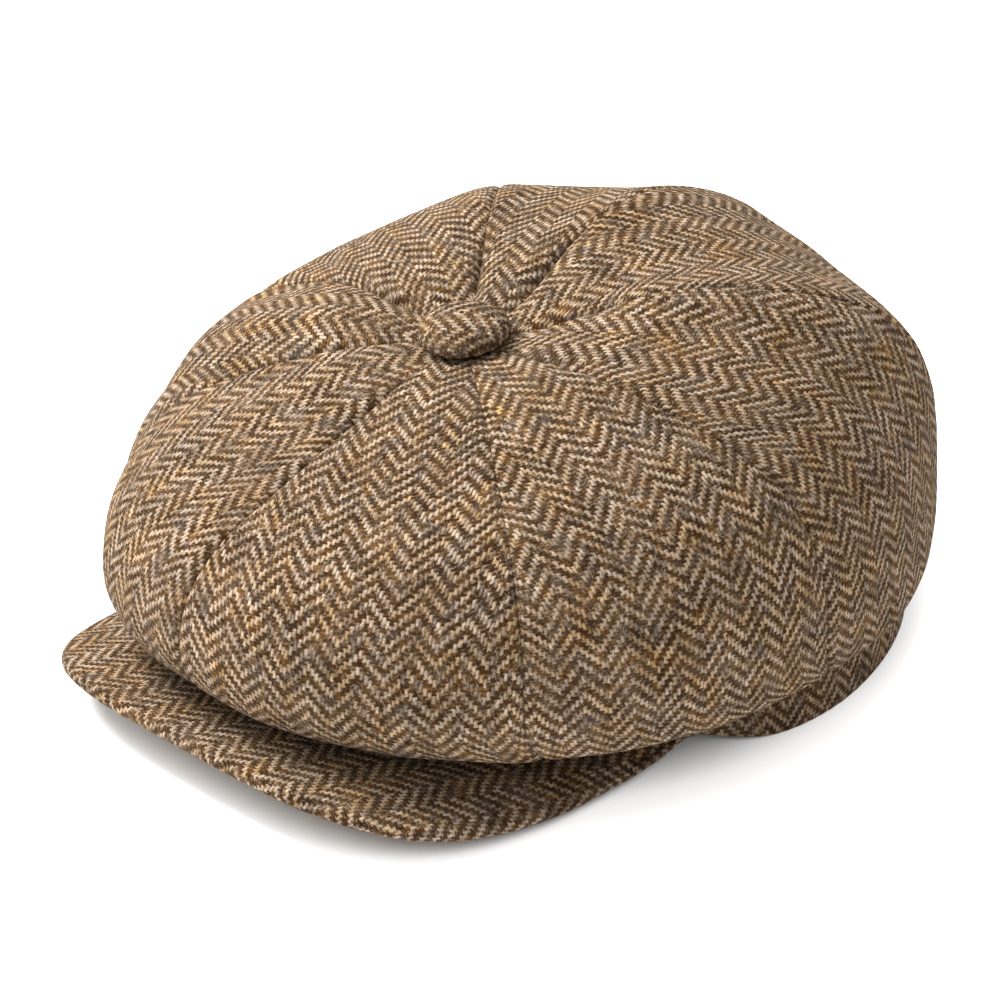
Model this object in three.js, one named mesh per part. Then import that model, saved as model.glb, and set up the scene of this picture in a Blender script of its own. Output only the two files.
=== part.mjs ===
// Eight-panel newsboy cap in herringbone tweed, built as the cap is sewn.
//
// Frame: millimetres, +Z up, +X to the wearer's left, the peak points to -Y.
// The cap stands on the lower edge of its band. The origin is the middle of
// the bounding box, at the height of that edge.
//
// Angles run round the head opening from the front centre, towards +X.

import * as THREE from 'three';

// ---- driving dimensions (mm, degrees) ----

const PANELS = 8;
const TWEED = 1.8;              // thickness of the wool tweed
const CLOTH_GAP = 0.4;          // clearance kept between sewn neighbours
const BAND_GAP = 0.6;           // and between the band and the crown
const PANEL_COLUMNS = 5;        // facets across one gore

// head opening: half length, half width and height of the tweed band
const OPENING = { length: 99.5, width: 92.5 };
const BAND_HEIGHT = 31;
const BAND_FRONT_LIFT = 10;     // the curved peak lifts the front of the band
const LIFT_ANGLE = 62;          // where the band meets the table again
const BUCKRAM = 0.9;
const SWEATBAND = 1.1;
const SWEATBAND_HEIGHT = 33;

// crown: the widest line (rim), its height, the top, and the fold under it
const CROWN = {
  centre: -26.5,                // the crown leans forward over the peak
  front: 125.5,                 // half lengths of the rim
  rear: 133,
  side: 113,
  rimFront: 39.3,               // heights at the front and at the rear
  rimRear: 52,
  topFront: 89.5,
  topRear: 132,
  foldFront: 20.5,
  foldRear: 25,
  foldReach: 0.58,              // fold position between band and rim
  plan: 2.31,                   // exponents of the upper profile
  height: 2.06,
};
const APEX_SHIFT = -21.9;       // the button sits ahead of the rim's centre
const DIMPLE = { depth: 9.9, radius: 48 };
const APEX_HOLE = 3.6;          // the panels stop here, round the button's thread

// peak: a stiff board between two tweed covers; the top cover turns round
// the edge of the board and meets the under cover below it
const PEAK = {
  centre: -60.3,                // centre of the outline's superellipse
  length: 98.8,
  width: 84.2,
  roundness: 3.45,
  tip: 18.2,                      // height of the middle layer at the tip
  wing: 4.8,                    // and at the two wings
  rootDrop: 2.5,                // the root lies lower than the tip
  wingDrop: 0.9,
  rootAngle: 61,                // half of the band's front that it is sewn to
  outlineAngle: 92.1,
  board: 1.6,
  cloth: 1.2,
};
const PEAK_ROOT_GAP = 1.4;
const PEAK_END_TAPER = 0.35;    // thickness left at the two ends
const PEAK_BOARD_SPAN = 0.9;    // share of the root that the board reaches
const LAYER_GAP = 0.3;

// lining: a dome of satin under the tweed, sewn in behind the sweatband
const LINING = {
  cloth: 0.8,
  apexDrop: 8,
  topFront: 72,
  topRear: 112,
  rim: 50,
  swellFront: 12,
  swellRear: 0.4,
  neck: 38,
  hem: 9,
  hole: 1.4,
};

// button: a tweed disc pulled over a shell, closed by a back plate with a
// wire loop, and tied down with a shank of thread
const BUTTON = {
  radius: 13,
  height: 8.5,
  mouth: 2.2,                   // the dome's widest place is this high
  lip: 3,                       // width of the cloth turned in below
  cloth: 1.3,
  shell: 0.9,
  plate: 1,
  wire: 0.7,
  eye: 2.2,
  thread: 1.2,
};

const RAD = Math.PI / 180;

// ---- helpers ----

const mix = (front, rear, angle) => {
  const share = (1 + Math.cos(angle)) / 2;
  return front * share + rear * (1 - share);
};

// distance from the centre to an oval, in the direction of an angle
const oval = (length, width, angle) =>
  1 / Math.hypot(Math.cos(angle) / length, Math.sin(angle) / width);

// point at a distance from the centre of the opening, in the plan
const planPoint = (distance, angle, shift = 0) =>
  [distance * Math.sin(angle), -distance * Math.cos(angle) + shift];

const signedPower = (value, power) => Math.sign(value) * Math.abs(value) ** power;

// A closed plate from a grid of outer points and a grid of inner points.
// wrap joins the last column to the first one, for a band that goes all round.
function plate(outer, inner, wrap = false) {
  const rows = outer.length;
  const columns = outer[0].length;
  const positions = [];
  for (const layer of [outer, inner]) {
    for (const row of layer) {
      for (const point of row) positions.push(point.x, point.y, point.z);
    }
  }
  const at = (layer, row, column) => layer * rows * columns + row * columns + (column % columns);
  const triangles = [];
  const quad = (a, b, c, d) => triangles.push(a, b, c, a, c, d);
  const last = wrap ? columns : columns - 1;
  for (let row = 0; row < rows - 1; row++) {
    for (let column = 0; column < last; column++) {
      quad(at(0, row, column), at(0, row + 1, column), at(0, row + 1, column + 1), at(0, row, column + 1));
      quad(at(1, row, column), at(1, row, column + 1), at(1, row + 1, column + 1), at(1, row + 1, column));
    }
  }
  for (let column = 0; column < last; column++) {
    quad(at(0, 0, column), at(0, 0, column + 1), at(1, 0, column + 1), at(1, 0, column));
    const end = rows - 1;
    quad(at(0, end, column + 1), at(0, end, column), at(1, end, column), at(1, end, column + 1));
  }
  if (!wrap) {
    const side = columns - 1;
    for (let row = 0; row < rows - 1; row++) {
      quad(at(0, row + 1, 0), at(0, row, 0), at(1, row, 0), at(1, row + 1, 0));
      quad(at(0, row + 1, side), at(1, row + 1, side), at(1, row, side), at(0, row, side));
    }
  }
  const geometry = new THREE.BufferGeometry();
  geometry.setAttribute('position', new THREE.Float32BufferAttribute(positions, 3));
  geometry.setIndex(triangles);
  geometry.computeVertexNormals();
  return geometry;
}

const steps = (count, from = 0, to = 1) =>
  Array.from({ length: count + 1 }, (unused, index) => from + (to - from) * index / count);

// ---- crown ----

const TOP_SHARE = 0.62;         // parts of the profile: top, side, turn-under
const SIDE_SHARE = 0.24;

const APEX_HEIGHT = (CROWN.topFront + CROWN.topRear) / 2 - DIMPLE.depth;

const rimDistance = (angle) =>
  oval(Math.cos(angle) > 0 ? CROWN.front : CROWN.rear, CROWN.side, angle);

// Upper side of the crown: share 0 at the button, 1 at the rim. depth is the
// distance below the outside of the cloth.
function crownTop(share, angle, depth) {
  const lean = share * Math.PI / 2;
  const rim = rimDistance(angle) - depth;
  const distance = rim * Math.sin(lean) ** (2 / CROWN.plan);
  const rimHeight = mix(CROWN.rimFront, CROWN.rimRear, angle);
  const topHeight = mix(CROWN.topFront, CROWN.topRear, angle) - depth;
  const dome = rimHeight + (topHeight - rimHeight) * Math.cos(lean) ** (2 / CROWN.height);
  const dimple = Math.exp(-((distance / DIMPLE.radius) ** 2));
  const shift = CROWN.centre + APEX_SHIFT * (1 - distance / rim);
  const [x, y] = planPoint(distance, angle, shift);
  return new THREE.Vector3(x, y, dome * (1 - dimple) + (APEX_HEIGHT - depth) * dimple);
}

// The whole cloth of the crown: from the button over the rim, down to the
// fold, and back in to the top of the band.
function crownSurface(share, angle, depth) {
  if (share <= TOP_SHARE) return crownTop(share / TOP_SHARE, angle, depth);
  const [rimX, rimY] = planPoint(rimDistance(angle) - depth, angle, CROWN.centre);
  const band = oval(OPENING.length, OPENING.width, angle) + BAND_GAP + depth;
  const [bandX, bandY] = planPoint(band, angle);
  const foldX = bandX + (rimX - bandX) * CROWN.foldReach;
  const foldY = bandY + (rimY - bandY) * CROWN.foldReach;
  const foldHeight = mix(CROWN.foldFront, CROWN.foldRear, angle) + depth;
  const rimHeight = mix(CROWN.rimFront, CROWN.rimRear, angle);
  const down = share - TOP_SHARE;
  if (down <= SIDE_SHARE) {
    const turn = down / SIDE_SHARE * Math.PI / 2;
    return new THREE.Vector3(
      foldX + (rimX - foldX) * Math.cos(turn),
      foldY + (rimY - foldY) * Math.cos(turn),
      rimHeight + (foldHeight - rimHeight) * Math.sin(turn),
    );
  }
  const turn = (down - SIDE_SHARE) / (1 - TOP_SHARE - SIDE_SHARE) * Math.PI / 2;
  return new THREE.Vector3(
    foldX + (bandX - foldX) * Math.sin(turn),
    foldY + (bandY - foldY) * Math.sin(turn),
    foldHeight + (bandTop(angle) - foldHeight) * (1 - Math.cos(turn)),
  );
}

// ---- band ----

const bandLift = (angle) => {
  const turned = Math.abs(Math.atan2(Math.sin(angle), Math.cos(angle))) / RAD;
  return turned < LIFT_ANGLE ? BAND_FRONT_LIFT * Math.cos(turned / LIFT_ANGLE * Math.PI / 2) ** 2 : 0;
};
const bandTop = (angle) => BAND_HEIGHT + bandLift(angle) * 0.5;

// An upright strip that follows the opening, set in from the band's outside.
function strip(inset, thickness, bottom, top) {
  const columns = PANELS * PANEL_COLUMNS;
  const grid = (depth) => [0, 1].map((share) =>
    Array.from({ length: columns }, (unused, index) => {
      const angle = index / columns * 2 * Math.PI;
      const [x, y] = planPoint(oval(OPENING.length - depth, OPENING.width - depth, angle), angle);
      return new THREE.Vector3(x, y, bottom(angle) + (top(angle) - bottom(angle)) * share);
    }));
  return plate(grid(inset + thickness), grid(inset), true);
}

const INTERLINING_INSET = TWEED + LAYER_GAP;
const LINING_INSET = INTERLINING_INSET + BUCKRAM + LAYER_GAP;
const SWEATBAND_INSET = LINING_INSET + LINING.cloth + LAYER_GAP;

// ---- lining ----

const NECK_SHARE = 0.72;        // parts of the profile: dome, neck, hem
const HEM_SHARE = 0.9;

function liningSurface(share, angle, depth) {
  const base = oval(OPENING.length - LINING_INSET, OPENING.width - LINING_INSET, angle) - depth;
  const swell = mix(LINING.swellFront, LINING.swellRear, angle);
  const hem = LINING.hem + bandLift(angle);
  if (share <= NECK_SHARE) {
    const lean = share / NECK_SHARE * Math.PI / 2;
    const rim = base + swell;
    const distance = rim * Math.sin(lean) ** (2 / CROWN.plan);
    const topHeight = mix(LINING.topFront, LINING.topRear, angle) - depth;
    const dome = LINING.rim + (topHeight - LINING.rim) * Math.cos(lean) ** (2 / CROWN.height);
    const apexHeight = APEX_HEIGHT - LINING.apexDrop - depth;
    const flat = Math.exp(-((distance / DIMPLE.radius) ** 2));
    const shift = (CROWN.centre + APEX_SHIFT) * (1 - distance / rim);
    const [x, y] = planPoint(distance, angle, shift);
    return new THREE.Vector3(x, y, dome * (1 - flat) + apexHeight * flat);
  }
  if (share <= HEM_SHARE) {
    const down = (share - NECK_SHARE) / (HEM_SHARE - NECK_SHARE);
    const [x, y] = planPoint(base + swell * (1 + Math.cos(Math.PI * down)) / 2, angle);
    return new THREE.Vector3(x, y, LINING.rim + (LINING.neck - LINING.rim) * down);
  }
  const down = (share - HEM_SHARE) / (1 - HEM_SHARE);
  const [x, y] = planPoint(base, angle);
  return new THREE.Vector3(x, y, LINING.neck + (hem - LINING.neck) * down);
}

// One gore of a dome, between two seams. Each side gives up half the gap, and
// near the apex that is a larger share of the angle.
function gore(surface, index, thickness, shares) {
  const seam = 2 * Math.PI / PANELS;
  const apex = surface(0, 0, 0);
  const grid = (depth) => shares.map((share) => {
    const middle = surface(share, seam * (index + 0.5), 0);
    const distance = Math.hypot(middle.x - apex.x, middle.y - apex.y);
    const margin = CLOTH_GAP / 2 / distance;
    return steps(PANEL_COLUMNS, seam * index + margin, seam * (index + 1) - margin)
      .map((angle) => surface(share, angle, depth));
  });
  return plate(grid(0), grid(thickness));
}

// share of a gore's profile at which its distance from the apex is hole
const shareAtHole = (hole, rim, topShare) =>
  topShare * Math.asin((hole / rim) ** (CROWN.plan / 2)) / (Math.PI / 2);

const CROWN_SHARES = [
  ...steps(10, shareAtHole(APEX_HOLE, CROWN.side, TOP_SHARE), TOP_SHARE),
  ...steps(4, TOP_SHARE, TOP_SHARE + SIDE_SHARE).slice(1),
  ...steps(3, TOP_SHARE + SIDE_SHARE, 1).slice(1),
];
const LINING_SHARES = [
  ...steps(7, shareAtHole(LINING.hole, OPENING.width, NECK_SHARE), NECK_SHARE),
  ...steps(3, NECK_SHARE, HEM_SHARE).slice(1),
  1,
];

// ---- peak ----

const peakCloth = (share) =>
  PEAK_END_TAPER + (1 - PEAK_END_TAPER) * Math.min(1, (1 - Math.abs(share)) / (1 - PEAK_BOARD_SPAN));
const PEAK_INNER = PEAK.board / 2 + LAYER_GAP;
const PEAK_OUTER = PEAK_INNER + PEAK.cloth;

// height of the middle layer above a place x, at the root of the peak
function peakRootHeight(x) {
  const arch = 1 - Math.min(1, Math.abs(x) / PEAK.width) ** PEAK.roundness;
  const low = PEAK.wing - PEAK.wingDrop;
  return low + (PEAK.tip - PEAK.rootDrop - low) * arch;
}

// Where the middle layer starts and ends for a place along the seam, from
// -1 at one end of the peak to 1 at the other, with the way out of the edge.
function peakRib(share) {
  const seamAngle = share * PEAK.rootAngle * RAD;
  const seamDistance = oval(OPENING.length + PEAK_ROOT_GAP, OPENING.width + PEAK_ROOT_GAP, seamAngle);
  const [rootX, rootY] = planPoint(seamDistance, seamAngle);
  const turn = share * PEAK.outlineAngle * RAD;
  const edge = new THREE.Vector3(
    PEAK.width * signedPower(Math.sin(turn), 2 / PEAK.roundness),
    PEAK.centre - PEAK.length * signedPower(Math.cos(turn), 2 / PEAK.roundness),
    PEAK.tip + (PEAK.wing - PEAK.tip) * Math.sin(turn) ** 2,
  );
  const out = new THREE.Vector3(
    signedPower(edge.x / PEAK.width, PEAK.roundness - 1) / PEAK.width,
    signedPower((edge.y - PEAK.centre) / PEAK.length, PEAK.roundness - 1) / PEAK.length,
    0,
  ).normalize();
  const root = new THREE.Vector3(rootX, rootY, peakRootHeight(rootX));
  const end = edge.clone().addScaledVector(out, -PEAK_OUTER * peakCloth(share));
  return { root, end, out };
}

// A layer of the peak, level units above its middle; reach stops it short of
// the edge.
function peakLayer(level, share, along, reach = 0) {
  const { root, end, out } = peakRib(share);
  const stop = end.clone().addScaledVector(out, -reach);
  const point = root.clone().lerp(stop, along);
  point.z += level * peakCloth(share);
  return point;
}

// The top cover's turn round the edge, from above (0) to below (1).
function peakTurn(level, share, along) {
  const { end, out } = peakRib(share);
  const turn = along * Math.PI;
  const radius = level * peakCloth(share);
  const point = end.clone().addScaledVector(out, radius * Math.sin(turn));
  point.z += radius * Math.cos(turn);
  return point;
}

const PEAK_COLUMNS = 26;
const PEAK_ROWS = 4;
const PEAK_TURN_ROWS = 4;

function peakBoard() {
  const grid = (level) => steps(PEAK_ROWS).map((along) =>
    steps(PEAK_COLUMNS, PEAK_BOARD_SPAN, -PEAK_BOARD_SPAN).map((share) =>
      peakLayer(level, share, along, LAYER_GAP)));
  return plate(grid(-PEAK.board / 2), grid(PEAK.board / 2));
}

function peakUnderCover() {
  const grid = (level) => steps(PEAK_ROWS).map((along) =>
    steps(PEAK_COLUMNS, 1, -1).map((share) => peakLayer(level, share, along, CLOTH_GAP)));
  return plate(grid(-PEAK_OUTER), grid(-PEAK_INNER));
}

function peakTopCover() {
  const grid = (level) => [
    ...steps(PEAK_ROWS).map((along) =>
      steps(PEAK_COLUMNS, 1, -1).map((share) => peakLayer(level, share, along))),
    ...steps(PEAK_TURN_ROWS).slice(1).map((along) =>
      steps(PEAK_COLUMNS, 1, -1).map((share) => peakTurn(level, share, along))),
  ];
  return plate(grid(PEAK_INNER), grid(PEAK_OUTER));
}

// ---- button ----

const BUTTON_TILT = 6.6 * RAD;  // it lies on the dimple, which leans forward
const BUTTON_LIFT = 1.1;

// half profile of a domed cup from its top to its mouth, grown inwards by depth
function domeProfile(radius, height, depth) {
  const points = [];
  for (const share of steps(7)) {
    const lean = share * Math.PI / 2;
    points.push(new THREE.Vector2(
      (radius - depth) * Math.sin(lean) ** 0.85,
      BUTTON.mouth + (height - BUTTON.mouth - depth) * Math.cos(lean) ** 0.85,
    ));
  }
  return points;
}

const BUTTON_SIDES = 28;

function buttonCover() {
  const lipRadius = BUTTON.radius - BUTTON.lip;
  const outside = domeProfile(BUTTON.radius, BUTTON.height, 0);
  const inside = domeProfile(BUTTON.radius, BUTTON.height, BUTTON.cloth).reverse();
  const underneath = [
    new THREE.Vector2(BUTTON.radius - 0.6, 0.5),
    new THREE.Vector2(BUTTON.radius - 1.6, 0),
    new THREE.Vector2(lipRadius, 0),
    new THREE.Vector2(lipRadius, BUTTON.cloth),
    new THREE.Vector2(BUTTON.radius - BUTTON.cloth - 0.4, BUTTON.cloth),
  ];
  return new THREE.LatheGeometry([...outside, ...underneath, ...inside].reverse(), BUTTON_SIDES);
}

function buttonShell() {
  const fit = BUTTON.cloth + LAYER_GAP;
  const outside = domeProfile(BUTTON.radius, BUTTON.height, fit);
  const inside = domeProfile(BUTTON.radius, BUTTON.height, fit + BUTTON.shell).reverse();
  return new THREE.LatheGeometry([...outside, ...inside].reverse(), BUTTON_SIDES);
}

function buttonBackPlate() {
  const radius = BUTTON.radius - BUTTON.lip - LAYER_GAP;
  const plateGeometry = new THREE.CylinderGeometry(radius, radius, BUTTON.plate, BUTTON_SIDES);
  plateGeometry.rotateX(Math.PI / 2);
  plateGeometry.translate(0, 0, BUTTON.plate / 2 + 0.15);
  return plateGeometry;
}

// A tube of a given radius along a smooth line through a few points.
function tube(points, radius, sides, count) {
  const section = new THREE.Shape(steps(sides, 0, 2 * Math.PI).slice(0, -1).map((angle) =>
    new THREE.Vector2(radius * Math.cos(angle), radius * Math.sin(angle))));
  const path = new THREE.CatmullRomCurve3(points.map((point) => new THREE.Vector3(...point)));
  return new THREE.ExtrudeGeometry(section, { steps: count, extrudePath: path });
}

// The wire loop hangs below the back plate, in the plane across the thread.
function buttonWireLoop() {
  const eye = BUTTON.eye;
  const top = -LAYER_GAP;
  const points = steps(8, -Math.PI / 2, Math.PI / 2).map((angle) =>
    [0, eye * Math.sin(angle), top - 0.9 - eye * Math.cos(angle)]);
  return tube([[0, -eye, top], ...points, [0, eye, top]], BUTTON.wire / 2, 8, 20);
}

// The thread passes through the loop and is caught under the panels' points.
function buttonThread() {
  const half = [[2.4, 0, -2.9], [5, 0, -4.7], [9, 0, -5]];
  const mirrored = half.map(([x, y, z]) => [-x, y, z]).reverse();
  return tube([...mirrored, [0, 0, -2], ...half], BUTTON.thread / 2, 8, 20);
}

// ---- assembly ----

const TWEED_BROWN = 0x8f775b;
const COLOURS = {
  tweed: { color: TWEED_BROWN, roughness: 0.95, metalness: 0 },
  lining: { color: 0x3b2c22, roughness: 0.45, metalness: 0 },
  leather: { color: 0x5a3a24, roughness: 0.6, metalness: 0 },
  buckram: { color: 0xd9d2c2, roughness: 0.9, metalness: 0 },
  board: { color: 0xe6e3dc, roughness: 0.5, metalness: 0 },
  tin: { color: 0xb9bcc0, roughness: 0.35, metalness: 1 },
  thread: { color: 0x4a3a2a, roughness: 0.8, metalness: 0 },
};

function piece(name, geometry, look) {
  const mesh = new THREE.Mesh(geometry, new THREE.MeshStandardMaterial(COLOURS[look]));
  mesh.name = name;
  return mesh;
}

const cap = new THREE.Group();
cap.name = 'newsboy_cap';

for (let index = 0; index < PANELS; index++) {
  cap.add(piece(`crown_panel_${index + 1}`, gore(crownSurface, index, TWEED, CROWN_SHARES), 'tweed'));
}
for (let index = 0; index < PANELS; index++) {
  cap.add(piece(`lining_panel_${index + 1}`,
    gore(liningSurface, index, LINING.cloth, LINING_SHARES), 'lining'));
}

cap.add(piece('outer_band', strip(0, TWEED, bandLift, bandTop), 'tweed'));
cap.add(piece('band_interlining', strip(
  INTERLINING_INSET, BUCKRAM,
  (angle) => bandLift(angle) + 2,
  (angle) => bandTop(angle) - 1,
), 'buckram'));
cap.add(piece('sweatband', strip(
  SWEATBAND_INSET, SWEATBAND,
  (angle) => bandLift(angle) + 0.5,
  (angle) => bandLift(angle) * 0.6 + SWEATBAND_HEIGHT,
), 'leather'));

cap.add(piece('peak_board', peakBoard(), 'board'));
cap.add(piece('peak_top_cover', peakTopCover(), 'tweed'));
cap.add(piece('peak_under_cover', peakUnderCover(), 'tweed'));

const button = new THREE.Group();
button.position.set(0, CROWN.centre + APEX_SHIFT, APEX_HEIGHT + BUTTON_LIFT);
button.rotation.x = BUTTON_TILT;
const lathed = (geometry) => geometry.rotateX(Math.PI / 2);
button.add(piece('button_cover', lathed(buttonCover()), 'tweed'));
button.add(piece('button_shell', lathed(buttonShell()), 'tin'));
button.add(piece('button_back_plate', buttonBackPlate(), 'tin'));
button.add(piece('button_wire_loop', buttonWireLoop(), 'tin'));
button.add(piece('button_thread', buttonThread(), 'thread'));
cap.add(button);

// The origin is the middle of the bounding box, on the plane the band rests on.
cap.updateMatrixWorld(true);
const box = new THREE.Box3().setFromObject(cap, true);
cap.position.set(0, -(box.min.y + box.max.y) / 2, -box.min.z);
cap.updateMatrixWorld(true);

export default cap;
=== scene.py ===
import math

import bpy
import numpy as np
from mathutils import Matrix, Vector, noise


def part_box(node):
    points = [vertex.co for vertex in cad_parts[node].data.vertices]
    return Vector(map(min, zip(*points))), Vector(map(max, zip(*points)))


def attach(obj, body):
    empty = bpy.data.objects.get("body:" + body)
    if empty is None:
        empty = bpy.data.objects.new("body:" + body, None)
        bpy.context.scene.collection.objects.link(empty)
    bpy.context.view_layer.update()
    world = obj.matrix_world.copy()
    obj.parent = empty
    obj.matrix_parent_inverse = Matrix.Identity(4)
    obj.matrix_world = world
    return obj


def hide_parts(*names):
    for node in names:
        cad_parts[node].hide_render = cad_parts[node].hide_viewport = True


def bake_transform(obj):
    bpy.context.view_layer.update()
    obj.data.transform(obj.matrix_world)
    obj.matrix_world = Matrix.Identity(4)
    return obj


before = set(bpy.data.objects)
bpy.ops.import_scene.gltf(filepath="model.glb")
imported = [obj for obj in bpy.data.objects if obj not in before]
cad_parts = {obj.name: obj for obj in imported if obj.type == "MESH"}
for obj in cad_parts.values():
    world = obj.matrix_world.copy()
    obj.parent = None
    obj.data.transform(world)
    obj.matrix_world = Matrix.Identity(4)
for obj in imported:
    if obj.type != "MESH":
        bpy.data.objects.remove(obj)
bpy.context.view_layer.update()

# Shapes are worked out in millimetres, from the middle of the head opening,
# with angles running round it from the front centre towards +X. place() moves
# them into the frame, in metres.

MM = 0.001
band_low, band_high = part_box("outer_band")
OPENING_Y = (band_low.y + band_high.y) / 2
OPENING_LENGTH = (band_high.y - band_low.y) / 2 / MM
OPENING_WIDTH = (band_high.x - band_low.x) / 2 / MM

PANELS = 8
SEAM_STEP = 2 * math.pi / PANELS
TWEED = 1.4                     # thickness
# The third cloth coordinate only sets one piece's threads apart from the next's.
BAND_SEED, PEAK_TOP_SEED, PEAK_UNDER_SEED, BOARD_SEED, BUTTON_SEED = 90.0, 120.0, 140.0, 0.0, 160.0

# crown
CROWN_CENTRE = -26.5
CROWN_FRONT, CROWN_REAR, CROWN_SIDE = 125.5, 133.0, 113.0
RIM_FRONT, RIM_REAR = 39.3, 52.0
TOP_FRONT, TOP_REAR = 89.5, 132.0
FOLD_FRONT, FOLD_REAR = 20.5, 25.0
FOLD_REACH = 0.58
PLAN_POWER, HEIGHT_POWER = 2.31, 2.06
APEX_SHIFT = -21.9
DIMPLE_DEPTH, DIMPLE_RADIUS = 9.9, 48.0
APEX_HEIGHT = (TOP_FRONT + TOP_REAR) / 2 - DIMPLE_DEPTH
APEX_HOLE = 2.0
TOP_SHARE, SIDE_SHARE = 0.62, 0.24

# band, sweatband and lining
BAND_HEIGHT, BAND_FRONT_LIFT = 31.0, 10.0
LIFT_FULL, LIFT_NONE = 52.0, 82.0
SIDE_SAG, SAG_MIDDLE, SAG_REACH, SAG_HEIGHT = 2.6, 86.0, 20.0, 28.0
BAND_CLOTH, BAND_WAVE = 1.8, 0.5
STIFFENER_INSET, STIFFENER, STIFFENER_FOOT, STIFFENER_TOP = 2.1, 0.9, 6, 1
SWEATBAND_INSET, SWEATBAND, SWEATBAND_HEIGHT, SWEATBAND_WAVE = 4.4, 1.1, 33.0, 0.3
LINING_INSET, LINING = 3.3, 0.5

# peak
PEAK_CENTRE, PEAK_LENGTH, PEAK_WIDTH, PEAK_ROUNDNESS = -60.3, 98.8, 84.9, 3.45
PEAK_TIP, PEAK_WING, ROOT_DROP, WING_DROP = 18.2, 4.8, 2.5, 0.9
ROOT_ANGLE, OUTLINE_ANGLE = 64.5, 93.0
END_RISE, LEFT_RISE, LEFT_INWARD = 3.4, 0.2, 3.0      # the left end rises by a share
ROOT_GAP = 0.3
PEAK_OUTER, PEAK_INNER, BOARD_HALF = 2.3, 1.1, 0.8
END_TAPER, BOARD_SPAN = 0.35, 0.9
PEAK_GRAIN = math.radians(-14)

# button
BUTTON_RADIUS, BUTTON_HEIGHT, BUTTON_MOUTH = 13.0, 8.5, 2.2
BUTTON_CLOTH, BUTTON_SEAT = 1.1, 1.1
BUTTON_TILT, BUTTON_GRAIN = math.radians(6.6), math.radians(-60)


def place(points):
    """Millimetres round the opening to metres in the frame."""
    return np.asarray(points, float) * MM + np.array([0.0, OPENING_Y, 0.0])


def mix(front, rear, angle):
    share = (1 + np.cos(angle)) / 2
    return front * share + rear * (1 - share)


def oval(length, width, angle):
    return 1 / np.hypot(np.cos(angle) / length, np.sin(angle) / width)


def signed_power(value, power):
    return np.sign(value) * np.abs(value) ** power


def smoothstep(low, high, value):
    t = np.clip((value - low) / (high - low), 0, 1)
    return t * t * (3 - 2 * t)


def polar(distance, angle, height, shift=0.0):
    """Stack a distance, an angle and a height into points."""
    parts = np.broadcast_arrays(distance * np.sin(angle), -distance * np.cos(angle) + shift, height)
    return np.stack(parts, axis=-1)


def turned(angle):
    """Degrees away from the front, on either side."""
    return np.abs(np.degrees(np.arctan2(np.sin(angle), np.cos(angle))))


def band_lift(angle):
    return BAND_FRONT_LIFT * (1 - smoothstep(LIFT_FULL, LIFT_NONE, turned(angle)))


def band_top(angle):
    return BAND_HEIGHT + band_lift(angle) * 0.5


def sag(points):
    """Let the foot of the band spread at the sides, where it bears on the table."""
    angle = np.arctan2(points[..., 0], -points[..., 1])
    spread = SIDE_SAG * np.exp(-(((turned(angle) - SAG_MIDDLE) / SAG_REACH) ** 2))
    spread = spread * (1 - smoothstep(0, SAG_HEIGHT, points[..., 2]))
    return points + polar(spread, angle, 0.0)


def noise_at(points, scale, seed=0.0):
    """Smooth noise from -1 to 1 at each point of a grid."""
    flat = points.reshape(-1, 3) * scale + seed
    values = np.array([noise.noise(Vector(p)) for p in flat])
    return values.reshape(points.shape[:-1])


def arc_lengths(points):
    """Running length along the first axis of a row of points."""
    steps = np.linalg.norm(np.diff(points, axis=0), axis=-1)
    return np.concatenate([np.zeros_like(steps[:1]), np.cumsum(steps, axis=0)])


def gore_steps(columns, evenness):
    """Places across a gore from -1 to 1, closer at its seams, and one past each."""
    even = np.linspace(-1, 1, columns + 1)
    steps = evenness * even + (1 - evenness) * np.sin(even * math.pi / 2)
    return np.concatenate([[-1.01], steps, [1.01]])[None, :]


def soften(grid, times):
    """Smooth a grid down its columns, in place."""
    for _ in range(times):
        grid[1:-1] = grid[:-2] * 0.25 + grid[1:-1] * 0.5 + grid[2:] * 0.25


def cloth_lengths(base, middle):
    """Lengths across the cloth from its middle column, half its width on each
    side, and the length down the middle."""
    across = arc_lengths(base.transpose(1, 0, 2)).T
    across = across - across[:, middle:middle + 1]
    half = np.where(across < 0, -across[:, :1], across[:, -1:])
    return across, half, arc_lengths(base)[:, middle:middle + 1]


# ---- meshes ----


def link_mesh(name, vertices, faces, weave, sharp=50):
    """A smooth shaded mesh object with its cloth coordinates in millimetres."""
    mesh = bpy.data.meshes.new(name)
    mesh.from_pydata(vertices.tolist(), [], faces)
    attribute = mesh.attributes.new("weave", "FLOAT_VECTOR", "POINT")
    attribute.data.foreach_set("vector", weave.astype(np.float32).ravel())
    mesh.polygons.foreach_set("use_smooth", [True] * len(mesh.polygons))
    mesh.set_sharp_from_angle(angle=math.radians(sharp))
    mesh.update()
    piece = bpy.data.objects.new(name, mesh)
    bpy.context.scene.collection.objects.link(piece)
    return piece


def quads(a, b, c, d):
    return np.stack([a, b, c, d], axis=-1).reshape(-1, 4)


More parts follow.
